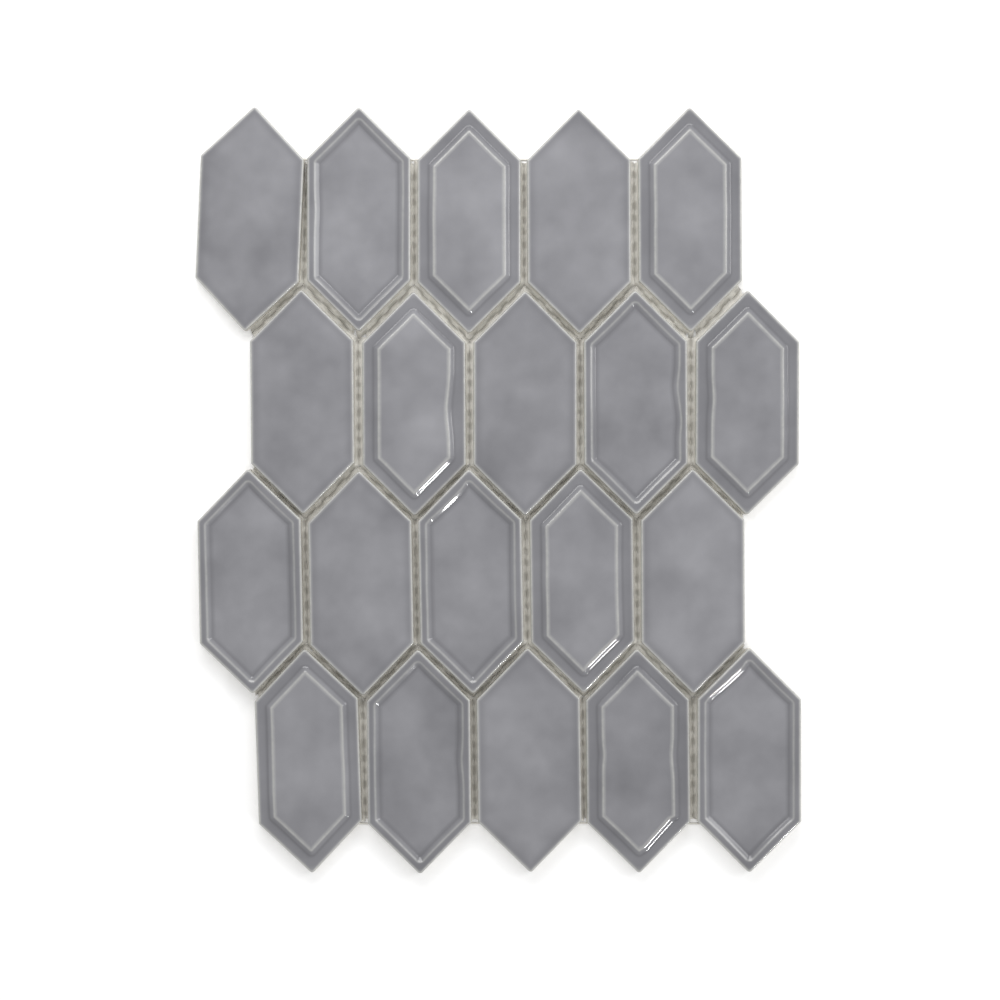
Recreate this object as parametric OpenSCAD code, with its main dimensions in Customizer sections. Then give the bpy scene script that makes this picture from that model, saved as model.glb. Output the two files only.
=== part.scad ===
// Sheet of elongated hexagon mosaic tiles on a glass fibre net.
// X runs across the sheet, Y up it, and Z out of the glazed faces.
// The origin is in the middle of the sheet, on the underside of the net.

/* [Tile plan] */
// Width of a tile across its two long sides
tile_w = 45; // [38:0.5:60]
// Length of a long side, between its sharp shoulder corners
side_len = 53; // [36:0.5:80]
// Slope of the pointed ends, measured from the width of the tile
point_angle = 45; // [35:1:52]
// Corner radius of the two tips
tip_r = 1.5; // [0.8:0.1:3]
// Corner radius of the four shoulders
shoulder_r = 1.2; // [0.8:0.1:3]

/* [Tile section] */
// Height of the arris of a flat tile above its back
flat_t = 7; // [5:0.25:10]
// Radius of the arris round every face
arris_r = 1; // [0.5:0.1:1.4]
// Lean of the pressed side walls, from the back to the arris
side_draft = 0.2; // [0:0.05:0.5]
// Chamfer round the back
back_chamfer = 0.5; // [0.2:0.1:1]
// Rise of the pillowed face in the middle of a tile
crown = 0.6; // [0.2:0.1:1.2]

/* [Tray tile] */
// Height of the raised rim above the back
rim_t = 7.5; // [5:0.25:10]
// Depth of the sunken floor below the rim
tray_depth = 1.6; // [0.8:0.1:3]
// Distance from the side wall to the inner edge of the rim
rim_w = 3.4; // [2.8:0.1:6]
// Run of the slope between the rim and the floor
tray_slope = 2; // [1:0.1:4]

/* [Raised tile] */
// Height of the low border above the back
border_t = 5.8; // [4:0.2:8]
// Height of the middle panel above the border
panel_rise = 1.6; // [0.8:0.1:3]
// Distance from the side wall to the foot of the panel
border_w = 5; // [3:0.1:8]
// Run of the slope between the border and the panel
panel_slope = 2.2; // [1:0.1:4]

/* [Back grooves] */
// Width of the lengthwise keying grooves
groove_w = 3; // [1.5:0.5:4]
// Distance between the middles of two grooves
groove_pitch = 8; // [6:0.5:12]
// Depth of the grooves
groove_depth = 0.4; // [0.2:0.1:0.8]
// Plain land left round the grooves
groove_margin = 5; // [3:0.5:8]

/* [Sheet] */
// Width of the open joint between two tiles
joint_w = 2.6; // [1.5:0.1:5]

/* [Net] */
// Thickness of the net
net_t = 0.5; // [0.3:0.1:1]
// Width of the bare yarn of a strand
yarn_w = 0.7; // [0.4:0.1:1.5]
// Resin coat on each side of the yarn
coat_w = 0.15; // [0.05:0.05:0.3]
// Meshes of the net across the pitch of the tiles
meshes = 8; // [6:1:12]
// Distance that the net is cut back from the outer edges of the tiles
net_trim = 0.8; // [0.5:0.1:2]
// Cuts that divide the net into strips, along each row's long sides
side_cuts = 3; // [2:1:4]

/* [Hidden] */
// One entry for each tile, from the top left corner of the sheet:
// its kind, its shift to the right, its shift up and the lean of its top to the right.
// The shifts, and the lean at a shoulder, are shares of the joint.
layout = [
    [
        ["flat", -0.1, 0.35, 0.45], ["tray", -0.3, 0.25, 0], ["raised", -0.3, -0.05, 0],
        ["flat", -0.35, -0.05, -0.05], ["raised", -0.2, 0.25, -0.05]
    ],
    [
        ["flat", -0.55, -0.1, -0.1], ["raised", -0.3, -0.4, -0.05], ["flat", -0.15, -0.35, 0],
        ["tray", -0.1, -0.2, -0.05], ["raised", 0.15, -0.25, 0.05]
    ],
    [
        ["tray", 0, 0.05, -0.2], ["flat", 0.05, -0.25, -0.2], ["tray", 0, 0.05, -0.2],
        ["raised", 0.15, 0.15, -0.15], ["flat", 0.25, 0.05, -0.05]
    ],
    [
        ["raised", 0.45, 0.15, -0.35], ["tray", 0.55, 0.05, -0.1], ["flat", 0.5, 0.3, -0.15],
        ["raised", 0.3, 0.15, -0.1], ["tray", 0.45, 0.3, 0]
    ]
];
rows = len(layout);
cols = len(layout[0]);
// Strips of the net, counted from the bottom of the sheet
net_bands = rows * side_cuts + 1;

// Pitch of the tiles along a row, and from one row to the next
pitch_x = tile_w + joint_w;
pitch_y = side_len + (tile_w - joint_w) / 2 * tan(point_angle) + joint_w / cos(point_angle);

// Corners that an inset leaves sharp keep this radius
least_r = 0.4;
// Radius of the panel and floor corners, and of the worked edges of the relief
relief_corner_r = 1;
edge_r = 0.5;
// Steps in the arc of a tip, of a shoulder, of the arris and of the crown
tip_steps = 3;
shoulder_steps = 1;
arris_steps = 3;
crown_steps = 3;
// Flat middle left inside the crown, as a share of the half width
flat_middle = 0.25;
// Share of a long side that the cuts of the net are spread over
cut_spread = 0.7;

function tile_name(r, c) = str(layout[r][c][0], "_tile_", r + 1, "_", c + 1);
function net_name(b) = str("net_band_", b);

// Middle of a tile on the sheet, without its own shift
function lattice(r, c) = [
    (c - (cols - 1) / 2) * pitch_x + (r % 2 == 0 ? -1 : 1) * pitch_x / 4,
    ((rows - 1) / 2 - r) * pitch_y
];

// Puts a shape drawn for one tile in its place on the sheet
module place(r, c) {
    entry = layout[r][c];
    lean = atan(entry[3] * joint_w / (side_len / 2));
    translate(lattice(r, c) + [entry[1], entry[2]] * joint_w)
        rotate(-lean)
            children();
}

// Arc of radius r in the corner p, between the directions from and to
function arc(p, r, from, to, steps) = let (
    middle = (from + to) / 2,
    centre = p - r / cos((to - from) / 2) * [cos(middle), sin(middle)]
) [for (i = [0:steps]) let (a = from + (to - from) * i / steps) centre + r * [cos(a), sin(a)]];

// Outline of a tile, moved inwards, with the two corner radii that are left
function outline(inset, tip, shoulder) = let (
    x = tile_w / 2 - inset,
    y = side_len / 2 - inset * (1 / cos(point_angle) - tan(point_angle)),
    top = y + x * tan(point_angle),
    a = 90 - point_angle,
    b = 90 + point_angle
) concat(
    arc([x, y], shoulder, 0, a, shoulder_steps),
    arc([0, top], tip, a, b, tip_steps),
    arc([-x, y], shoulder, b, 180, shoulder_steps),
    arc([-x, -y], shoulder, 180, 180 + a, shoulder_steps),
    arc([0, -top], tip, 180 + a, 180 + b, tip_steps),
    arc([x, -y], shoulder, 180 + b, 360, shoulder_steps)
);

// Ring of the tile's surface at one inset and height, with the outer corners
function ring(inset, z) =
    [for (p = outline(inset, max(tip_r - inset, least_r), max(shoulder_r - inset, least_r))) [p.x, p.y, z]];

// Ring of the relief, with its own softer corners
function relief_ring(inset, z) =
    [for (p = outline(inset, relief_corner_r, relief_corner_r)) [p.x, p.y, z]];

// Side wall and rounded arris, up to the height of the face's edge
function side_rings(height) = concat(
    [ring(back_chamfer, 0), ring(0, back_chamfer)],
    [for (i = [0:arris_steps]) let (a = 90 * i / arris_steps)
        ring(side_draft + arris_r * (1 - cos(a)), height - arris_r * (1 - sin(a)))]
);

// Pillowed surface from one inset to the middle of the tile
function crown_rings(start, height, rise) = let (
    reach = tile_w / 2 * (1 - flat_middle) - start
) [for (i = [1:crown_steps]) let (u = i / crown_steps)
    relief_ring(start + reach * u, height + rise * sin(90 * u))];

// Slope of the relief from one inset and height to another, with both edges rounded
function slope_rings(start, from_z, run, to_z) = let (
    step = sign(to_z - from_z) * edge_r / 3
) [
    relief_ring(start - edge_r, from_z),
    relief_ring(start + edge_r / 2, from_z + step),
    relief_ring(start + run - edge_r / 2, to_z - step),
    relief_ring(start + run + edge_r, to_z)
];

flat_rings = concat(
    side_rings(flat_t),
    crown_rings(side_draft + arris_r, flat_t, crown)
);

tray_rings = let (
    floor_z = rim_t - tray_depth,
    foot = rim_w + tray_slope + edge_r
) concat(
    side_rings(rim_t),
    slope_rings(rim_w, rim_t, tray_slope, floor_z),
    crown_rings(foot, floor_z, crown / 2)
);

raised_rings = let (
    panel_z = border_t + panel_rise,
    crest = border_w + panel_slope + edge_r
) concat(
    side_rings(border_t),
    slope_rings(border_w, border_t, panel_slope, panel_z),
    crown_rings(crest, panel_z, crown / 2)
);

function tile_rings(kind) =
    kind == "flat" ? flat_rings
    : kind == "tray" ? tray_rings
    : raised_rings;

// Solid skinned over a stack of rings with equal numbers of points
module loft(rings) {
    n = len(rings[0]);
    last = len(rings) - 1;
    sides = [for (k = [0:last - 1], i = [0:n - 1]) let (j = (i + 1) % n)
        [k * n + i, (k + 1) * n + i, (k + 1) * n + j, k * n + j]];
    bottom = [for (i = [0:n - 1]) i];
    top = [for (i = [n - 1:-1:0]) last * n + i];
    polyhedron([for (one = rings) each one], concat([bottom], sides, [top]));
}

// Keying grooves pressed into the back
module grooves() {
    each_side = floor((tile_w / 2 - groove_margin - groove_w / 2) / groove_pitch);
    translate([0, 0, -1])
        linear_extrude(height = 1 + groove_depth)
            intersection() {
                polygon(outline(groove_margin, least_r, least_r));
                for (i = [-each_side:each_side])
                    translate([i * groove_pitch, 0])
                        square([groove_w, 2 * side_len + tile_w], center = true);
            }
}

module tile(r, c) {
    color("#8e9297")
        translate([0, 0, net_t])
            place(r, c)
                difference() {
                    loft(tile_rings(layout[r][c][0]));
                    grooves();
                }
}

// Mesh of the net across and up the sheet, a whole number to each pitch
mesh_x = pitch_x / meshes;
mesh_y = pitch_y / round(pitch_y / mesh_x);
half_w = (cols - 1) / 2 * pitch_x + pitch_x / 4 + tile_w / 2;
half_h = (rows - 1) / 2 * pitch_y + side_len / 2 + tile_w / 2 * tan(point_angle);
yarns_right = ceil(half_w / mesh_x);
yarns_up = ceil(half_h / mesh_y);
net_w = (2 * yarns_right + 1) * mesh_x;
net_h = (2 * yarns_up + 1) * mesh_y;

// Outer edge of the net: the tiles with their joints closed, cut back a little
module net_outline() {
    offset(delta = -joint_w - net_trim - coat_w)
        offset(delta = joint_w)
            for (r = [0:rows - 1], c = [0:cols - 1])
                place(r, c)
                    polygon(outline(0, tip_r, shoulder_r));
}

// Yarns up and across the sheet, which cross in its middle
module yarns() {
    for (i = [-yarns_right:yarns_right])
        translate([i * mesh_x, 0])
            square([yarn_w, net_h], center = true);
    for (j = [-yarns_up:yarns_up])
        translate([0, j * mesh_y])
            square([net_w, yarn_w], center = true);
}

// Height of the cut below a strip, half way between two yarns and level with the long sides of a row
function net_cut(b) =
    b == 1 ? -net_h / 2
    : b > net_bands ? net_h / 2
    : let (
        row = floor((b - 2) / side_cuts),
        share = ((b - 2) % side_cuts) / (side_cuts - 1) - 0.5,
        height = (row - (rows - 1) / 2) * pitch_y + share * cut_spread * side_len
    ) (floor(height / mesh_y) + 0.5) * mesh_y;

// One strip of the net
module net_band(b) {
    bottom = net_cut(b) + coat_w;
    top = net_cut(b + 1) - coat_w;
    color("#e4dfd0")
        linear_extrude(height = net_t)
            offset(delta = coat_w)
                intersection() {
                    net_outline();
                    yarns();
                    translate([-net_w / 2, bottom])
                        square([net_w, top - bottom]);
                }
}

for (r = [0:rows - 1], c = [0:cols - 1])
    tile(r, c);
for (b = [1:net_bands])
    net_band(b);
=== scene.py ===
# %% [markdown]
# # A mosaic sheet of glazed picket tiles
#
# Twenty pressed tiles lie on a net of glass fibre, in four rows that interlock. Three pressings are mixed:
# plain tiles, tiles with a raised middle, and tiles with a sunken one.
# The CAD model gives every tile its place. This lesson dresses the tiles in a glossy grey glaze.

import bpy
import numpy as np
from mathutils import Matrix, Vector
from mathutils.geometry import delaunay_2d_cdt


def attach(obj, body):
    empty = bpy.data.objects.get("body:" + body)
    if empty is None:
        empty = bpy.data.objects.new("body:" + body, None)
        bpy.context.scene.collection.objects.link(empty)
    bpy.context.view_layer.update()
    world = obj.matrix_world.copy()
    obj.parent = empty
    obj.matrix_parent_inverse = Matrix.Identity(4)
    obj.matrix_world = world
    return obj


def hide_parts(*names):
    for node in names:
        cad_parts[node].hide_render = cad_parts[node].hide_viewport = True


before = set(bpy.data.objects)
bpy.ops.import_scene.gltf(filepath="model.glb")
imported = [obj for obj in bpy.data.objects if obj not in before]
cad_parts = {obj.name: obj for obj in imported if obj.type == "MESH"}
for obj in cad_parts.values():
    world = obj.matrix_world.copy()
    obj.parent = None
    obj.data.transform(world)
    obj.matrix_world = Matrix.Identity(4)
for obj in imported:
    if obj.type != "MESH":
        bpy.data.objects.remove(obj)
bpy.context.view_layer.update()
mm = 0.001
print("CAD nodes:", len(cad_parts))

# %% [markdown]
# ## Sizes
#
# The sizes below repeat the driving dimensions of the model, in millimetres.
# The places are not repeated: each tile's middle and lean are read from its own CAD solid.

# %% Sizes in millimetres
tile_w = 45
side_len = 53
point_angle = np.radians(45)
tip_r = 1.5
shoulder_r = 1.2
arris_r = 1
side_draft = 0.2
back_chamfer = 0.5
crown = 0.6

flat_t = 7
rim_t = 7.5
tray_depth = 1.6
rim_w = 3.4
tray_slope = 2
border_t = 5.8
panel_rise = 1.6
border_w = 5
panel_slope = 2.2

groove_w = 3
groove_pitch = 8
groove_depth = 0.4
groove_margin = 5

joint_w = 2.6
net_t = 0.5
meshes = 8

pitch_x = tile_w + joint_w
pitch_y = side_len + (tile_w - joint_w) / 2 * np.tan(point_angle) + joint_w / np.cos(point_angle)
mesh_x = pitch_x / meshes
mesh_y = pitch_y / round(pitch_y / mesh_x)
print("pitch of the tiles", pitch_x, round(pitch_y, 2), "mesh of the net", round(mesh_x, 2), round(mesh_y, 2))

# %% [markdown]
# ## Where each tile lies
#
# Hand-laid tiles never sit quite square. A solid's box gives the tile's middle, because the outline is the
# same after half a turn. Its lean is the direction in which its corners spread most.

# %% Read the places from the frame
def corners(name):
    """The distinct corner points of a CAD node, in millimetres, one row each."""
    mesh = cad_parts[name].data
    flat = np.empty(len(mesh.vertices) * 3)
    mesh.vertices.foreach_get("co", flat)
    return np.unique(np.round(flat.reshape(-1, 3) / mm, 3), axis=0)


def place_of(name):
    """Middle of a tile and its turn in radians, from the spread of its corners about that middle."""
    points = corners(name)[:, :2]
    middle = (points.min(axis=0) + points.max(axis=0)) / 2
    spread = (points - middle).T @ (points - middle)
    longest = 0.5 * np.arctan2(2 * spread[0, 1], spread[0, 0] - spread[1, 1])
    turn = (longest - np.pi / 2 + np.pi / 2) % np.pi - np.pi / 2
    return middle, turn


tile_names = sorted(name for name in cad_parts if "_tile_" in name)
band_names = sorted(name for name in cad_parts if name.startswith("net_band"))
places = {name: place_of(name) for name in tile_names}
for name in tile_names:
    print(name, "middle", places[name][0].round(2), "turn", round(float(np.degrees(places[name][1])), 2))

# %% [markdown]
# ## The outline as a function
#
# A picket hexagon has two tips and four shoulders, each rounded. A point of the outline is a blend between the
# end of one corner's arc and the start of the next. The same blend works at any distance inside the edge, so
# the whole face becomes one grid: round the tile in one direction, inwards in the other.

# %% Points round the outline
side_steps = 54
slant_steps = 30
tip_points = 8
shoulder_points = 5

rise = 90 - np.degrees(point_angle)
corner_from = np.radians([0, rise, 180 - rise, 180, 180 + rise, 360 - rise])
corner_to = np.radians([rise, 180 - rise, 180, 180 + rise, 360 - rise, 360])
is_tip = np.array([False, True, False, False, True, False])
edge_steps = [slant_steps, slant_steps, side_steps, slant_steps, slant_steps, side_steps]


def outline_stations():
    """Lists, for each point round the tile, its two corners, their arc directions and the blend between them."""
    rows = []
    for k in range(6):
        after = (k + 1) % 6
        count = tip_points if is_tip[k] else shoulder_points
        for t in np.linspace(0, 1, count):
            angle = corner_from[k] + (corner_to[k] - corner_from[k]) * t
            rows.append((k, angle, k, angle, 0))
        for t in np.arange(1, edge_steps[k]) / edge_steps[k]:
            rows.append((k, corner_to[k], after, corner_from[after], t))
    return np.array(rows)


stations = outline_stations()
first_corner = stations[:, 0].astype(int)
next_corner = stations[:, 2].astype(int)
around = len(stations)


def arc_point(corner, angle, inset, radius):
    """Point of a corner's arc: the sharp corner, pulled in along its middle direction, plus a radius outwards."""
    x = tile_w / 2 - inset
    y = side_len / 2 - inset * (1 / np.cos(point_angle) - np.tan(point_angle))
    top = y + x * np.tan(point_angle)
    sign_x = np.array([1, 0, -1, -1, 0, 1])[corner]
    sign_y = np.array([1, 1, 1, -1, -1, -1])[corner]
    sharp_x = sign_x * x
    sharp_y = sign_y * np.where(is_tip[corner], top, y)
    middle = (corner_from + corner_to)[corner] / 2
    pull = radius / np.cos((corner_to - corner_from)[corner] / 2)
    return sharp_x - pull * np.cos(middle) + radius * np.cos(angle), \
        sharp_y - pull * np.sin(middle) + radius * np.sin(angle)


def outline_points(inset, tip, shoulder):
    """Points round the tile at an inset, for arrays of insets and corner radii with one column a station."""
    ax, ay = arc_point(first_corner, stations[:, 1], inset, np.where(is_tip[first_corner], tip, shoulder))
    bx, by = arc_point(next_corner, stations[:, 3], inset, np.where(is_tip[next_corner], tip, shoulder))
    t = stations[:, 4]
    return ax + (bx - ax) * t, ay + (by - ay) * t


print("points round a tile:", around)

# %% [markdown]
# ## The section of each pressing
#
# A section runs from the back, up the side wall, over the arris and across the face to the middle line.
# Each row holds a distance from the edge and a height, and two masks. The first is high on every outward edge
# and crest, where the glaze is thin, and it also paints a highlight there. The second is high where the glaze
# pools, in every hollow, and it also paints shade in a band inside the edge and over rims and raised borders.

# %% Sections
tray_spill = 0.65
panel_spill = 0.4


def smooth(t):
    """Eased step from 0 to 1, flat at both ends."""
    t = np.clip(t, 0, 1)
    return t * t * t * (t * (6 * t - 15) + 10)


def bump(x, middle, width):
    """Bell of height 1 at middle."""
    return np.exp(-((x - middle) / width) ** 2)


def flank(x, width, spill):
    """Rise from 0 to 1 as three t squared less two t cubed, over a width that spills a little at both ends."""
    t = np.clip((x + spill) / (width + 2 * spill), 0, 1)
    return t * t * (3 - 2 * t)


def face_height(kind, d):
    """Height of the face at distance d from the edge, as the plateau, the step and the pillow added up."""
    half = tile_w / 2
    if kind == "flat":
        start = side_draft + arris_r
        return flat_t + crown * np.sin(np.pi / 2 * np.clip((d - start) / (half * 0.75 - start), 0, 1))
    if kind == "tray":
        foot = rim_w + tray_slope
        pillow = crown / 2 * np.sin(np.pi / 2 * np.clip((d - foot) / (half * 0.75 - foot), 0, 1))
        rim = 0.12 * np.sin(np.pi * np.clip((d - 1.2) / (rim_w - 1.2), 0, 1)) - 0.12
        return rim_t + rim - tray_depth * flank(d - rim_w, tray_slope, tray_spill) + pillow
    crest = border_w + panel_slope
    pillow = crown / 2 * np.sin(np.pi / 2 * np.clip((d - crest) / (half * 0.75 - crest), 0, 1))
    hollow = -0.12 * np.sin(np.pi * np.clip((d - 1.2) / (border_w - 1.2), 0, 1))
    return border_t + hollow + panel_rise * flank(d - border_w, panel_slope, panel_spill) + pillow


def face_insets(kind):
    """Distances at which the face gets a ring, close together where the section bends."""
    half = tile_w / 2
    start = side_draft + arris_r
    if kind == "flat":
        return np.concatenate([np.linspace(start, 4, 5)[1:], np.linspace(4, half, 17)[1:]])
    if kind == "tray":
        near, far = rim_w - tray_spill, rim_w + tray_slope + tray_spill
    else:
        near, far = border_w - panel_spill, border_w + panel_slope + panel_spill
    before = np.linspace(start, near, 5 if kind == "tray" else 7)[1:]
    slope = np.linspace(near, far, 17)[1:]
    return np.concatenate([before, slope, np.linspace(far, half, 14)[1:]])


def section(kind):
    """Rows of distance, height, thin glaze with painted highlight, pooled glaze with painted shade, and glaze
    cover, from the back to the middle.
    """
    top = {"flat": flat_t, "tray": rim_t - 0.12, "raised": border_t}[kind]
    low_d = np.array([back_chamfer, back_chamfer * 0.3, 0, side_draft * 0.3, side_draft * 0.6, side_draft * 0.9])
    low_z = np.array([0, back_chamfer * 0.3, back_chamfer, top * 0.3, top * 0.55, top - arris_r * 1.3])
    a = np.linspace(0, np.pi / 2, 9)
    arris_d = side_draft + arris_r * (1 - np.cos(a))
    arris_z = top - arris_r * (1 - np.sin(a))
    face_d = face_insets(kind)
    d = np.concatenate([low_d, arris_d, face_d])
    z = np.concatenate([low_z, arris_z, face_height(kind, face_d)])
    on_face = np.arange(len(d)) >= len(low_d)
    # Pale body where the glaze runs thin on the arris, and a painted highlight along it.
    thin = np.where(on_face, bump(d, side_draft + 0.3, 0.5), 1)
    if kind == "flat":
        # Painted shade: a dark band just inside the edge of the flat face.
        pool_and_edge_shade = 0.5 * smooth((d - 0.9) / 0.8) * smooth((5.5 - d) / 4)
    if kind == "tray":
        # Painted highlight on the inner edge of the rim, painted shade over the rim, and pooled glaze at the foot
        # of the wall.
        thin = thin + 0.4 * bump(d, rim_w + 0.1, 0.5)
        pool_and_edge_shade = 0.6 * smooth((d - 0.9) / 0.6) * smooth((rim_w - d) / 0.6)
        pool_and_edge_shade = pool_and_edge_shade + 0.8 * bump(d, rim_w + tray_slope + 0.2, 0.7)
    if kind == "raised":
        # Painted highlight on the crest of the panel, painted shade over the border, and pooled glaze at the foot
        # of the panel.
        thin = thin + 0.6 * bump(d, border_w + panel_slope + 0.1, 0.5)
        pool_and_edge_shade = 0.55 * smooth((d - 0.9) / 0.6) * smooth((border_w + 1 - d) / 1.5)
        pool_and_edge_shade = pool_and_edge_shade + 0.5 * bump(d, border_w, 0.6)
    cover = np.where(on_face, 1, smooth(z / top * 1.6 - 0.4))
    return d, z, np.clip(thin, 0, 1), np.clip(pool_and_edge_shade, 0, 1), cover


sections = {kind: section(kind) for kind in ("flat", "tray", "raised")}
for kind, rows in sections.items():
    print(kind, "rings", len(rows[0]), "highest", round(float(rows[1].max()), 2))

# %% [markdown]
# ## Hand-made edges
#
# The relief was carved by hand before it was moulded, and thick glaze softens it, so no inner edge is straight.
# The distance of every relief ring from the edge of the tile is therefore pushed in and out a little along
# the outline. A few walls have one clear dent.

# %% Wobble of the relief
# Side of the tile (1 right, -1 left), height on it, inward push and length, all in millimetres
dents = {
    "raised_tile_2_2": [(1, -4, 1.3, 20)],
    "tray_tile_2_4": [(1, 7, 0.9, 14), (1, -9, -0.5, 10)],
    "raised_tile_4_4": [(1, 2, 0.8, 14), (-1, 3, 0.5, 9)],
    "raised_tile_2_5": [(-1, 2, 0.6, 14)],
    "tray_tile_1_2": [(-1, 5, 0.4, 14)],
    "tray_tile_4_2": [(1, 0, 0.5, 14)],
}
# Corner where a slanted wall starts, how many degrees the wall turns away from 45 on the sheet, and its bow
slants = {
    "raised_tile_2_2": (4, 0, 0),
    "raised_tile_3_4": (4, 0, 0),
    "tray_tile_3_3": (1, -0.3, 0.32),
    "raised_tile_4_4": (4, 2.6, 0),
    "tray_tile_4_5": (1, -1.8, 0),
}
slant_len = tile_w / 2 / np.cos(point_angle)
wobble_size = 0.12
wobble_waves = (2, 3, 5, 8)
tray_bow = 0.15


def wobble_of(name, x, y, rng):
    """Inward push along the outline: a few random waves round the tile, plus the dents on its long sides.

    The slanted walls of a tray also bow inwards, as four t times one less t."""
    angle = np.arctan2(y / side_len, x / tile_w)
    push = sum(
        wobble_size * rng.uniform(0.5, 1) / np.sqrt(k) * np.sin(k * angle + rng.uniform(0, 2 * np.pi))
        for k in wobble_waves
    )
    if name.startswith("tray"):
        t = stations[:, 4]
        push = push + tray_bow * 4 * t * (1 - t) * (is_tip[first_corner] | is_tip[next_corner])
    if name in slants:
        corner, degrees, bow = slants[name]
        t = stations[:, 4]
        lean = np.tan(np.radians(degrees) - places[name][1]) * slant_len
        lean = lean * (t - 0.5) * smooth(t / 0.1) * smooth((1 - t) / 0.1)
        push = push + (lean + bow * 4 * t * (1 - t)) * (first_corner == corner)
    for side, height, amount, length in dents.get(name, []):
        push = push + amount * bump(y, height, length / 2) * (x * side > tile_w * 0.4)
    return push


def wave_of(x, y, rng):
    """Slow swell of the fired face: three crossed waves of 12 to 30 mm."""
    height = np.zeros_like(x)
    for wavelength in (30, 19, 12):
        way = rng.uniform(0, 2 * np.pi)
        along = (x * np.cos(way) + y * np.sin(way)) * 2 * np.pi / wavelength
        height = height + wavelength / 30 * 0.035 * np.sin(along + rng.uniform(0, 2 * np.pi))
    return height

# %% [markdown]
# ## The back
#
# A press leaves shallow grooves across the back, which the adhesive keys into. Their edges are straight, so
# a constrained triangulation of the back is enough: it has the ring's points and the grooves' corners.

# %% Grooved back
def groove_outlines():
    """Corners of each lengthwise groove, cut off by the outline moved in by the margin."""
    x_edge = tile_w / 2 - groove_margin
    y_edge = side_len / 2 - groove_margin * (1 / np.cos(point_angle) - np.tan(point_angle))
    reach = int((x_edge - groove_w / 2) / groove_pitch)

    def top(x):
        return y_edge + (x_edge - abs(x)) * np.tan(point_angle)

    outlines = []
    for k in range(-reach, reach + 1):
        xs = [k * groove_pitch - groove_w / 2, k * groove_pitch + groove_w / 2]
        if k == 0:
            xs = [xs[0], 0, xs[1]]
        outlines.append([(x, -top(x)) for x in xs] + [(x, top(x)) for x in reversed(xs)])
    return outlines


def back_of(ring_x, ring_y, start):
    """Vertices and faces of the back inside the ring of points that begins at vertex 0 of the tile.

    start is the number of the first new vertex. The land lies at height 0 and the groove floors deeper in."""
    outlines = groove_outlines()
    points = [(float(x), float(y)) for x, y in zip(ring_x, ring_y)]
    count = len(points)
    edges = [(i, (i + 1) % count) for i in range(count)]
    loops = []
    for outline in outlines:
        loop = [len(points) + i for i in range(len(outline))]
        points += outline
        edges += [(loop[i], loop[(i + 1) % len(loop)]) for i in range(len(loop))]
        loops.append(loop)
    _, _, triangles, _, _, _ = delaunay_2d_cdt(points, edges, [], 1, 1e-5)
    flat = np.array(points)
    extra = len(points) - count
    verts = [(x, y, 0.0) for x, y in points[count:]] + [(x, y, groove_depth) for x, y in points[count:]]

    def number(i, deep):
        return i if i < count else start + (i - count) + (extra if deep else 0)

    faces = []
    for tri in triangles:
        a, b, c = flat[list(tri)]
        middle = (a + b + c) / 3
        deep = any(
            abs(middle[0] - np.mean([p[0] for p in outline])) < groove_w / 2
            and all(i >= count for i in tri)
            for outline in outlines
        )
        order = tri if np.cross(b - a, c - a) < 0 else tri[::-1]
        faces.append([number(i, deep) for i in order])
    for loop in loops:
        for i, j in zip(loop, loop[1:] + loop[:1]):
            faces.append([number(i, False), number(i, True), number(j, True), number(j, False)])
    return verts, faces

# %% [markdown]
# ## One tile as a mesh
#
# The rings of the section are stacked into one grid and the last ring falls onto the middle line, where its
# two halves are merged. The masks travel with the mesh as attributes, so the glaze can read them.

# %% Build a tile
fired_tip_r = 1.6
relief_corner_r = 0.5
corner_growth = 0.8


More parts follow.
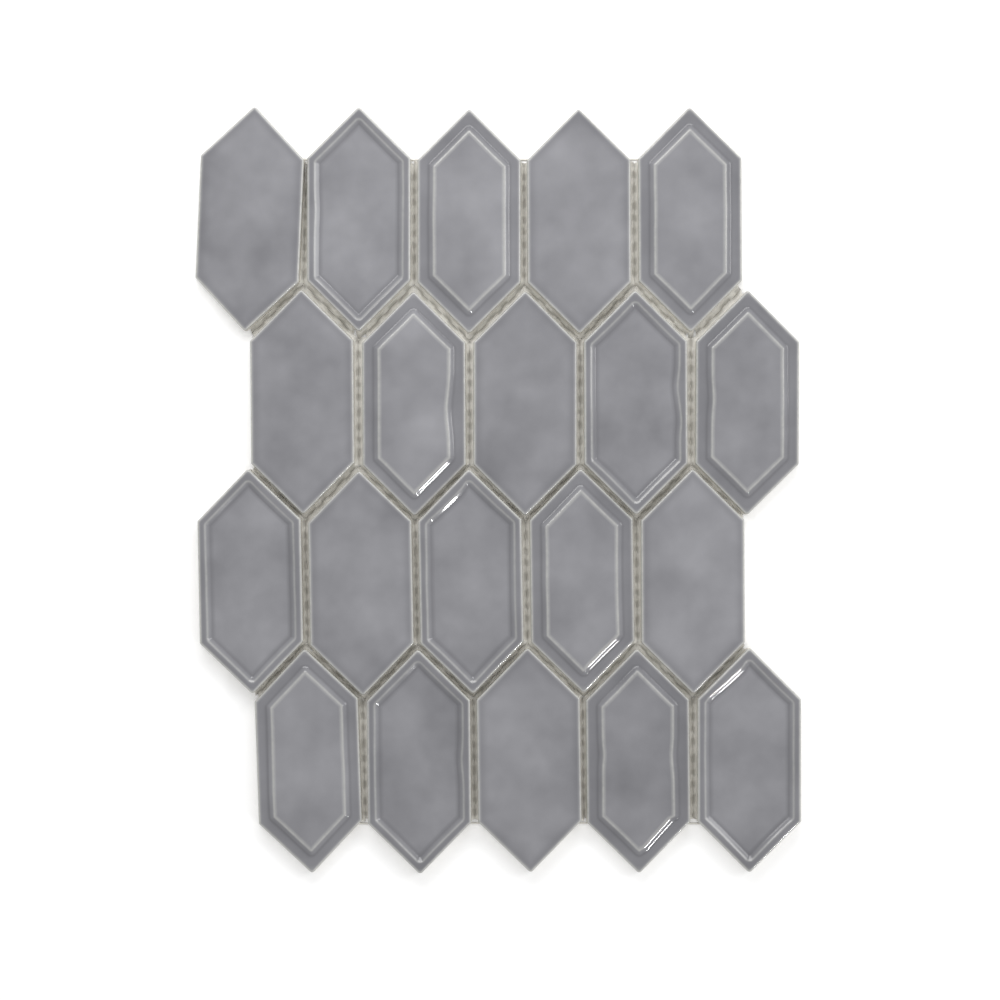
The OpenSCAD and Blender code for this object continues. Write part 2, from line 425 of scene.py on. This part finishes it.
def tile_mesh(name, seed):
    """Closed mesh of one tile, in place on the sheet, with its glaze masks."""
    kind = name.split("_")[0]
    rng = np.random.default_rng(seed)
    d, z, thin, pool_and_edge_shade, cover = (column[:, None] for column in sections[kind])
    half = tile_w / 2
    x0, y0 = outline_points(0.0, fired_tip_r, shoulder_r)
    relief = smooth((d - 1.6) / 1.6) * smooth((half - 2 - d) / 8) if kind != "flat" else 0 * d
    inset = d + relief * wobble_of(name, x0, y0, rng)
    inset = np.clip(inset, 0, half)
    edge = smooth(d / 3)
    left = np.clip(half - d, 0, None) * 0.35
    inner = {"flat": 0, "tray": rim_w + tray_slope, "raised": border_w + panel_slope}[kind]
    relief_r = relief_corner_r + corner_growth * np.clip(inner - d, 0, None) * smooth(d / 2.5)
    tip = np.minimum(np.maximum(fired_tip_r - d, 0.4) * (1 - edge) + relief_r * edge, left)
    shoulder = np.minimum(np.maximum(shoulder_r - d, 0.4) * (1 - edge) + relief_r * edge, left)
    x, y = outline_points(inset, tip, shoulder)
    highest_swell = 0.05
    height = z + (np.minimum(wave_of(x, y, rng), highest_swell) - highest_swell) * smooth((d - 0.6) / 3)

    rings, count = x.shape
    verts = np.stack([x, y, height + 0 * x], axis=-1).reshape(-1, 3)
    i = np.arange(count)
    j = (i + 1) % count
    k = np.arange(rings - 1)[:, None] * count
    quads = np.stack([k + i, k + j, k + count + j, k + count + i], axis=-1).reshape(-1, 4)
    back_verts, back_faces = back_of(x[0], y[0], len(verts))
    verts = np.vstack([verts, np.array(back_verts)])

    middle, turn = places[name]
    c, s = np.cos(turn), np.sin(turn)
    placed = verts.copy()
    placed[:, 0] = middle[0] + verts[:, 0] * c - verts[:, 1] * s
    placed[:, 1] = middle[1] + verts[:, 0] * s + verts[:, 1] * c
    placed[:, 2] += net_t

    mesh = bpy.data.meshes.new(name + "_glazed")
    mesh.from_pydata(placed * mm, [], quads.tolist() + back_faces)
    # The first mask is thin glaze and painted highlight, the second pooled glaze and painted shade.
    masks = {"thin_glaze_and_highlight": thin, "pooled_glaze_and_edge_shade": pool_and_edge_shade, "glaze_cover": cover}
    for title, column in masks.items():
        values = np.zeros(len(placed), np.float32)
        values[:x.size] = np.broadcast_to(column, x.shape).ravel()
        mesh.attributes.new(title, "FLOAT", "POINT").data.foreach_set("value", values)
    tone = np.full(len(placed), rng.uniform(-1, 1), np.float32)
    mesh.attributes.new("tile_tone", "FLOAT", "POINT").data.foreach_set("value", tone)
    return mesh


def finish_mesh(mesh):
    """Merges the two halves of the middle line and the doubled points, and shades the surface smooth."""
    import bmesh
    work = bmesh.new()
    work.from_mesh(mesh)
    bmesh.ops.remove_doubles(work, verts=work.verts, dist=1e-6)
    bmesh.ops.dissolve_degenerate(work, edges=work.edges, dist=1e-7)
    for face in work.faces:
        face.smooth = face.calc_center_median().z > (net_t + back_chamfer * 0.2) * mm
    open_edges = sum(1 for e in work.edges if len(e.link_faces) != 2)
    work.to_mesh(mesh)
    work.free()
    return open_edges


# %% Make the twenty tiles
tiles = {}
for seed, name in enumerate(tile_names):
    mesh = tile_mesh(name, 40 + seed)
    open_edges = finish_mesh(mesh)
    piece = bpy.data.objects.new(name + "_glazed", mesh)
    bpy.context.scene.collection.objects.link(piece)
    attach(piece, "root")
    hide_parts(name)
    tiles[name] = piece
    if seed % 5 == 0:
        print(name, "faces", len(mesh.polygons), "open edges", open_edges)

# %% [markdown]
# ## The net
#
# The net is a leno weave: across the sheet run single yarns, and up it run pairs of thin yarns that twist
# round each other and lock every crossing. Where a yarn starts and ends is read from the CAD solid.

# %% Stretches of the yarns
strand_w = 1.0


def stretches(along, across, mesh_along, mesh_across):
    """For each yarn, the lines it follows: the position across, and where the stretch starts and ends."""
    points = np.vstack([corners(name) for name in band_names])
    count = int(np.ceil(np.abs(points[:, across]).max() / mesh_across))
    found = []
    for k in range(-count, count + 1):
        near = np.abs(points[:, across] - k * mesh_across) < strand_w / 2 + 0.02
        reach = np.unique(points[near, along])
        if len(reach) < 2:
            continue
        breaks = np.flatnonzero(np.diff(reach) > 1.5 * mesh_along)
        starts = np.concatenate([[0], breaks + 1])
        ends = np.concatenate([breaks, [len(reach) - 1]])
        found += [(k * mesh_across, reach[a], reach[b]) for a, b in zip(starts, ends) if reach[b] - reach[a] > 1]
    return found


uprights = stretches(1, 0, mesh_y, mesh_x)
crossers = stretches(0, 1, mesh_x, mesh_y)
print("stretches up the sheet", len(uprights), "and across it", len(crossers))

# %% Yarns as tubes
yarn_sides = 5
steps_in_mesh = 4


def tube(centres, width, thickness, along_y):
    """Closed flattened tube: an ellipse of points round each centre, and a cap on each end."""
    turn = np.linspace(0, 2 * np.pi, yarn_sides, endpoint=False) + np.pi / 2
    side = width / 2 * np.cos(turn)
    up = thickness / 2 * np.sin(turn)
    ring = centres[:, None, :] + np.stack(
        [side if along_y else 0 * side, 0 * side if along_y else side, up], axis=-1)[None]
    n = len(centres)
    i = np.arange(yarn_sides)
    j = (i + 1) % yarn_sides
    k = np.arange(n - 1)[:, None] * yarn_sides
    quads = np.stack([k + i, k + j, k + yarn_sides + j, k + yarn_sides + i], axis=-1).reshape(-1, 4)
    if along_y:
        quads = quads[:, ::-1]
    caps = [list(range(yarn_sides)), [(n - 1) * yarn_sides + a for a in reversed(range(yarn_sides))]]
    if not along_y:
        caps = [cap[::-1] for cap in caps]
    return ring.reshape(-1, 3), quads.tolist() + caps


def gather(tubes):
    """Joins tubes into one list of vertices and one of faces."""
    verts, faces, start = [], [], 0
    for points, quads in tubes:
        verts.append(points)
        faces += [[start + i for i in face] for face in quads]
        start += len(points)
    return np.vstack(verts), faces


def upright_pair(x, low, high):
    """Two thin yarns that swap sides at every mesh: a cosine across, and a sine up and down."""
    count = max(2, int(np.ceil((high - low) / mesh_y * steps_in_mesh)) + 1)
    y = np.linspace(low, high, count)
    phase = np.pi * y / mesh_y
    pair = []
    for sign in (-1, 1):
        swing = sign * 0.25 * np.cos(phase)
        lift = net_t / 2 + sign * 0.11 * np.sin(phase)
        pair.append(tube(np.stack([x + swing, y, lift], axis=-1), 0.5, 0.26, True))
    return pair


def cross_yarn(y, low, high):
    """One flat yarn with a slow swing, so that no two meshes are quite alike."""
    count = max(2, int(np.ceil((high - low) / mesh_x * steps_in_mesh)) + 1)
    x = np.linspace(low, high, count)
    swing = 0.12 * np.sin(x / 23 + y)
    lift = net_t / 2 + 0.05 * np.cos(2 * np.pi * x / mesh_x)
    return tube(np.stack([x, y + swing, lift], axis=-1), 0.9, 0.3, False)


def yarn_piece(name, tubes):
    """One object for a set of yarns."""
    verts, faces = gather(tubes)
    mesh = bpy.data.meshes.new(name)
    mesh.from_pydata(verts * mm, [], faces)
    mesh.polygons.foreach_set("use_smooth", np.ones(len(mesh.polygons), bool))
    piece = bpy.data.objects.new(name, mesh)
    bpy.context.scene.collection.objects.link(piece)
    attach(piece, "root")
    print(name, "faces", len(mesh.polygons))
    return piece


net_uprights = yarn_piece("net_twisted_yarns", [t for row in uprights for t in upright_pair(*row)])
net_crossers = yarn_piece("net_cross_yarns", [cross_yarn(*row) for row in crossers])
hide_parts(*band_names)

# %% [markdown]
# ## Glue in the joints
#
# The net is pressed into wet glue, and some of it is squeezed out from under each tile into the joints.
# There it dries as a thin pale lip along the foot of the walls, which sinks into every mesh; there its colour
# is painted darker, as painted shade for the shadowed holes between the yarns. It stops where the tile has no
# neighbour.

# %% Glue lips
def gap_to(name, x, y):
    """Distance from points of the sheet to a tile, as the largest of its distances to the lines of its sides."""
    middle, turn = places[name]
    c, s = np.cos(turn), np.sin(turn)
    across = np.abs((x - middle[0]) * c + (y - middle[1]) * s)
    along = np.abs((y - middle[1]) * c - (x - middle[0]) * s)
    slant = (along - side_len / 2 - (tile_w / 2 - across) * np.tan(point_angle)) * np.cos(point_angle)
    return np.maximum(across - tile_w / 2, slant)


def glue_lip(name):
    """Closed band round a tile: a seven-sided section that reaches to the middle of the joint and sinks in the
    meshes of the net.

    It is there where a step outwards lands on another tile, or where two other tiles are near, and it is left
    out where a joint is almost closed."""
    x0, y0 = outline_points(0.0, tip_r, shoulder_r)
    middle, turn = places[name]
    c, s = np.cos(turn), np.sin(turn)
    sheet_x = middle[0] + x0 * c - y0 * s
    sheet_y = middle[1] + x0 * s + y0 * c
    gaps = np.sort([gap_to(other, sheet_x, sheet_y) for other in tile_names if other != name], axis=0)
    others = gaps[0]
    x1, y1 = outline_points(-1.0, tip_r, shoulder_r)
    step = others * 1.1 + 0.4
    ahead_x = sheet_x + step * ((x1 - x0) * c - (y1 - y0) * s)
    ahead_y = sheet_y + step * ((x1 - x0) * s + (y1 - y0) * c)
    ahead = np.min([gap_to(other, ahead_x, ahead_y) for other in tile_names if other != name], axis=0)
    faced = smooth(-ahead / 0.3)
    between = smooth((joint_w * 2.3 - gaps[1]) / (joint_w * 0.4))
    open_enough = smooth((others - 0.7) / 1.1)
    joined = np.maximum(faced * smooth((joint_w * 2.3 - others) / (joint_w * 0.4)), between) * open_enough
    reach = (others / 2 + 0.05) * joined - 0.3 * (1 - joined)
    out = np.array([-0.9, -0.15, 0.35, 0.5, 1.0, 0.95, -0.9])[:, None]
    lift = np.array([0.42, 1.2, 0.95, 0.75, 0.6, 0.08, 0.06])[:, None]
    inset = np.where(out > 0, -reach * out, np.maximum(-out, -reach))
    x, y = outline_points(inset, fired_tip_r, shoulder_r)
    mesh_turn = 2 * np.pi * (sheet_y / mesh_y + 0.5) + 0.8 * np.sin(0.23 * sheet_x + 0.31 * sheet_y)
    # Where the glue sinks, its colour is later darkened as painted shade for the holes of the net.
    sunk = smooth(np.sin(mesh_turn) * 1.2 + 0.5) * smooth((out - 0.2) / 0.3) * joined
    z = lift - 0.2 * sunk * (lift > 0.5)
    sunken_glue_shade.append(sunk.ravel())
    rings, count = x.shape
    verts = np.stack([middle[0] + x * c - y * s, middle[1] + x * s + y * c, z], axis=-1).reshape(-1, 3)
    i = np.arange(count)
    j = (i + 1) % count
    k = np.arange(rings)[:, None] * count
    after = (np.arange(rings)[:, None] + 1) % rings * count
    quads = np.stack([k + i, after + i, after + j, k + j], axis=-1).reshape(-1, 4)
    return verts, quads.tolist()


sunken_glue_shade = []
glue = yarn_piece("glue_in_the_joints", [glue_lip(name) for name in tile_names])
glue.data.attributes.new("sunken_glue_shade", "FLOAT", "POINT").data.foreach_set("value", np.concatenate(sunken_glue_shade))

# %% [markdown]
# ## Shader groups
#
# Cloudy tone is used by every finish on the sheet: two sizes of soft noise, from -1 to 1. It is built once as
# a node group, and each material places it with its own sizes.

# %% Cloudy tone
def socket(group, name, kind, way, value=None):
    item = group.interface.new_socket(name=name, in_out=way, socket_type=kind)
    if value is not None:
        item.default_value = value
    return item


def link(tree, source, target):
    tree.links.new(source, target)


def math_node(tree, operation, a, b=None, clamp=False):
    """Math node whose inputs may be sockets or plain numbers."""
    made = tree.nodes.new("ShaderNodeMath")
    made.operation = operation
    made.use_clamp = clamp
    for slot, value in zip(made.inputs, (a, b)):
        if value is None:
            continue
        if isinstance(value, (int, float)):
            slot.default_value = value
        else:
            link(tree, value, slot)
    return made.outputs[0]


def cloud_group():
    """Group that turns coordinates into soft clouds from -1 to 1."""
    group = bpy.data.node_groups.new("cloudy_tone", "ShaderNodeTree")
    socket(group, "Coordinates", "NodeSocketVector", "INPUT")
    socket(group, "Shift", "NodeSocketFloat", "INPUT", 0.0)
    socket(group, "Large per metre", "NodeSocketFloat", "INPUT", 40.0)
    socket(group, "Small per metre", "NodeSocketFloat", "INPUT", 160.0)
    socket(group, "Small share", "NodeSocketFloat", "INPUT", 0.3)
    socket(group, "Tone", "NodeSocketFloat", "OUTPUT")
    inside = group.nodes.new("NodeGroupInput")
    outside = group.nodes.new("NodeGroupOutput")
    noises = []
    for name in ("Large per metre", "Small per metre"):
        noise = group.nodes.new("ShaderNodeTexNoise")
        noise.noise_dimensions = "4D"
        noise.inputs["Detail"].default_value = 2
        link(group, inside.outputs["Coordinates"], noise.inputs["Vector"])
        link(group, inside.outputs["Shift"], noise.inputs["W"])
        link(group, inside.outputs[name], noise.inputs["Scale"])
        noises.append(math_node(group, "MULTIPLY", math_node(group, "SUBTRACT", noise.outputs["Fac"], 0.5), 4))
    small = math_node(group, "MULTIPLY", noises[1], inside.outputs["Small share"])
    tone = math_node(group, "ADD", noises[0], small)
    link(group, tone, outside.inputs["Tone"])
    return group


clouds = cloud_group()


def new_material(name):
    """Empty material with its output and a Principled shader."""
    material = bpy.data.materials.new(name)
    material.use_nodes = True
    tree = material.node_tree
    tree.nodes.clear()
    output = tree.nodes.new("ShaderNodeOutputMaterial")
    shader = tree.nodes.new("ShaderNodeBsdfPrincipled")
    link(tree, shader.outputs[0], output.inputs[0])
    return material, tree, shader


def attribute(tree, name):
    made = tree.nodes.new("ShaderNodeAttribute")
    made.attribute_name = name
    return made.outputs["Fac"]


def mix(tree, factor, a, b):
    """Colour mix whose ends may be sockets or plain colours."""
    made = tree.nodes.new("ShaderNodeMix")
    made.data_type = "RGBA"
    if isinstance(factor, (int, float)):
        made.inputs[0].default_value = factor
    else:
        link(tree, factor, made.inputs[0])
    for slot, value in ((made.inputs[6], a), (made.inputs[7], b)):
        if isinstance(value, tuple):
            slot.default_value = value
        else:
            link(tree, value, slot)
    return made.outputs[2]


def place_clouds(tree, coordinates, large, small, share, shift=None):
    made = tree.nodes.new("ShaderNodeGroup")
    made.node_tree = clouds
    link(tree, coordinates, made.inputs["Coordinates"])
    made.inputs["Large per metre"].default_value = large
    made.inputs["Small per metre"].default_value = small
    made.inputs["Small share"].default_value = share
    if shift is not None:
        link(tree, shift, made.inputs["Shift"])
    return made.outputs["Tone"]


def colour(red, green, blue):
    """Linear colour from the three values of a screen colour."""
    values = np.array([red, green, blue]) / 255
    linear = np.where(values <= 0.04045, values / 12.92, ((values + 0.055) / 1.055) ** 2.4)
    return (*[float(v) for v in linear], 1.0)

# %% [markdown]
# ## Glaze
#
# The glaze is opaque grey glass, a fraction of a millimetre thick. It runs off sharp edges while it melts, so
# the pale body shows through there, and it gathers in hollows, where it turns darker. The pale edges and
# crests also carry painted highlights, and painted shade darkens a band inside the edges, the rims and the borders.
# Low on the side walls and on the back there is no glaze at all.

# %% Glaze material
def glaze_material():
    """Grey glaze over a pale body, mixed by the three masks of the tile; the pale edges also paint highlights, and
    the darker pooled glaze also paints shade.
    """
    material, tree, shader = new_material("grey_glaze_on_biscuit")
    where = tree.nodes.new("ShaderNodeTexCoord").outputs["Object"]
    tone = attribute(tree, "tile_tone")
    shift = math_node(tree, "MULTIPLY", tone, 7.0)
    cloud = place_clouds(tree, where, 42.0, 150.0, 0.25, shift)
    speck = place_clouds(tree, where, 420.0, 1500.0, 0.5, shift)

    amount = math_node(tree, "MULTIPLY_ADD", cloud, 0.36)
    tree.nodes[-1].inputs[2].default_value = 0.5
    amount = math_node(tree, "ADD", amount, math_node(tree, "MULTIPLY", tone, 0.1), clamp=True)
    grey = mix(tree, amount, colour(106, 106, 110), colour(139, 139, 143))

    # Darker where glaze pools at the feet of the slopes, and painted shade along the edges, rims and borders.
    pooled = math_node(tree, "MULTIPLY", attribute(tree, "pooled_glaze_and_edge_shade"), 0.55)
    grey = mix(tree, pooled, grey, colour(88, 88, 92))
    uneven = math_node(tree, "MULTIPLY_ADD", speck, 0.15)
    tree.nodes[-1].inputs[2].default_value = 0.7
    # Pale body where the glaze is thin, and painted highlights on the arrises and crests.
    pale_edge_and_highlight = math_node(tree, "MULTIPLY", attribute(tree, "thin_glaze_and_highlight"), uneven, clamp=True)
    glaze = mix(tree, pale_edge_and_highlight, grey, colour(196, 196, 190))

    body = mix(tree, math_node(tree, "MULTIPLY_ADD", speck, 0.3), colour(208, 204, 194), colour(230, 227, 218))
    tree.nodes[-2].inputs[2].default_value = 0.5
    ragged = math_node(tree, "ADD", attribute(tree, "glaze_cover"), math_node(tree, "MULTIPLY", cloud, 0.16))
    ragged = math_node(tree, "ADD", ragged, math_node(tree, "MULTIPLY", speck, 0.1))
    cover = math_node(tree, "GREATER_THAN", ragged, 0.5)
    link(tree, mix(tree, cover, body, glaze), shader.inputs["Base Color"])

    rough = math_node(tree, "MULTIPLY_ADD", cover, -0.72)
    tree.nodes[-1].inputs[2].default_value = 0.8
    link(tree, rough, shader.inputs["Roughness"])
    shader.inputs["IOR"].default_value = 1.5

    fine = tree.nodes.new("ShaderNodeTexNoise")
    fine.inputs["Scale"].default_value = 260.0
    fine.inputs["Detail"].default_value = 3
    link(tree, where, fine.inputs["Vector"])
    relief = tree.nodes.new("ShaderNodeBump")
    relief.inputs["Strength"].default_value = 0.1
    relief.inputs["Distance"].default_value = 0.0001
    link(tree, fine.outputs["Fac"], relief.inputs["Height"])
    link(tree, relief.outputs["Normal"], shader.inputs["Normal"])
    return material


glaze = glaze_material()
for piece in tiles.values():
    piece.data.materials.append(glaze)

# %% [markdown]
# ## Net finish
#
# Glass yarn is white, and the resin coat makes it cream and a little glossy. The filaments show as fine lines.

# %% Net material
def net_material():
    """Cream resin over white filaments, with soft blotches and painted shade where the glue sinks into the meshes.
    """
    material, tree, shader = new_material("coated_glass_yarn")
    where = tree.nodes.new("ShaderNodeTexCoord").outputs["Object"]
    blotch = place_clouds(tree, where, 90.0, 900.0, 0.6)
    amount = math_node(tree, "MULTIPLY_ADD", blotch, 0.35)
    tree.nodes[-1].inputs[2].default_value = 0.5
    pale = mix(tree, amount, colour(200, 198, 191), colour(236, 234, 229))
    # Painted shade: the glue turns darker where it sinks into the meshes, standing in for the shadowed holes
    # between the yarns.
    painted_hole_shade = math_node(tree, "MULTIPLY", attribute(tree, "sunken_glue_shade"), 0.6)
    link(tree, mix(tree, painted_hole_shade, pale, colour(168, 165, 158)), shader.inputs["Base Color"])
    shader.inputs["Roughness"].default_value = 0.5
    fine = tree.nodes.new("ShaderNodeTexNoise")
    fine.inputs["Scale"].default_value = 2600.0
    link(tree, where, fine.inputs["Vector"])
    relief = tree.nodes.new("ShaderNodeBump")
    relief.inputs["Strength"].default_value = 0.4
    relief.inputs["Distance"].default_value = 0.0001
    link(tree, fine.outputs["Fac"], relief.inputs["Height"])
    link(tree, relief.outputs["Normal"], shader.inputs["Normal"])
    return material


yarn = net_material()
for piece in (net_uprights, net_crossers, glue):
    piece.data.materials.append(yarn)

# %% [markdown]
# ## Floor, camera and light
#
# The sheet lies on a white table. One small bright lamp low at the right draws the white streaks on the
# slopes, and a white room does the rest.

# %% White floor
def floor_piece():
    """Large square under the sheet."""
    size = 4.0
    mesh = bpy.data.meshes.new("floor")
    mesh.from_pydata([(-size, -size, 0), (size, -size, 0), (size, size, 0), (-size, size, 0)], [], [(0, 1, 2, 3)])
    floor = bpy.data.objects.new("floor", mesh)
    floor.location.z = -0.0002
    bpy.context.scene.collection.objects.link(floor)
    return floor


def floor_material():
    """Flat white paint, lifted a little for the camera so that the ground comes out white."""
    material, tree, shader = new_material("white_table")
    shader.inputs["Base Color"].default_value = (0.9, 0.9, 0.9, 1)
    shader.inputs["Roughness"].default_value = 0.9
    shader.inputs["Specular IOR Level"].default_value = 0.2
    path = tree.nodes.new("ShaderNodeLightPath")
    shader.inputs["Emission Color"].default_value = (1, 1, 1, 1)
    link(tree, math_node(tree, "MULTIPLY", path.outputs["Is Camera Ray"], 0.12), shader.inputs["Emission Strength"])
    return material


floor = floor_piece()
floor.data.materials.append(floor_material())

# %% Camera straight above
image_px = 1000
mm_per_px = 0.4314
view_middle = (498.5, 491.4)
camera_height = 1.6
sensor = 36.0
camera_data = bpy.data.cameras.new("camera")
camera = bpy.data.objects.new("camera", camera_data)
bpy.context.scene.collection.objects.link(camera)
bpy.context.scene.camera = camera
camera.location = (
    (image_px / 2 - view_middle[0]) * mm_per_px * mm,
    (view_middle[1] - image_px / 2) * mm_per_px * mm,
    camera_height,
)
face_z = (net_t + flat_t) * mm
camera_data.sensor_width = sensor
camera_data.lens = sensor * (camera_height - face_z) / (image_px * mm_per_px * mm)
print("lens", round(camera_data.lens, 1))

# %% Lamps and world
def area_lamp(name, azimuth, elevation, distance, width, height, watts):
    """Lamp that looks at the sheet from a compass direction, counted from +X towards +Y."""
    a, e = np.radians(azimuth), np.radians(elevation)
    data = bpy.data.lights.new(name, "AREA")
    data.shape = "RECTANGLE"
    data.size = width
    data.size_y = height
    data.energy = watts
    lamp = bpy.data.objects.new(name, data)
    lamp.location = (distance * np.cos(e) * np.cos(a), distance * np.cos(e) * np.sin(a), distance * np.sin(e))
    lamp.rotation_euler = (-Vector(lamp.location)).to_track_quat("-Z", "Y").to_euler()
    bpy.context.scene.collection.objects.link(lamp)
    return lamp


area_lamp("spot", -46.2, 20.5, 1.6, 0.09, 0.13, 4.2)
area_lamp("window", 20, 32, 1.6, 0.8, 0.6, 5)
area_lamp("softbox", 98, 45, 0.62, 0.7, 0.24, 2.5)

world = bpy.data.worlds.new("white_room")
bpy.context.scene.world = world
world.use_nodes = True
background = world.node_tree.nodes["Background"]
background.inputs["Color"].default_value = (1.0, 1.0, 1.0, 1)
background.inputs["Strength"].default_value = 0.76
bpy.context.scene.view_settings.view_transform = "Standard"
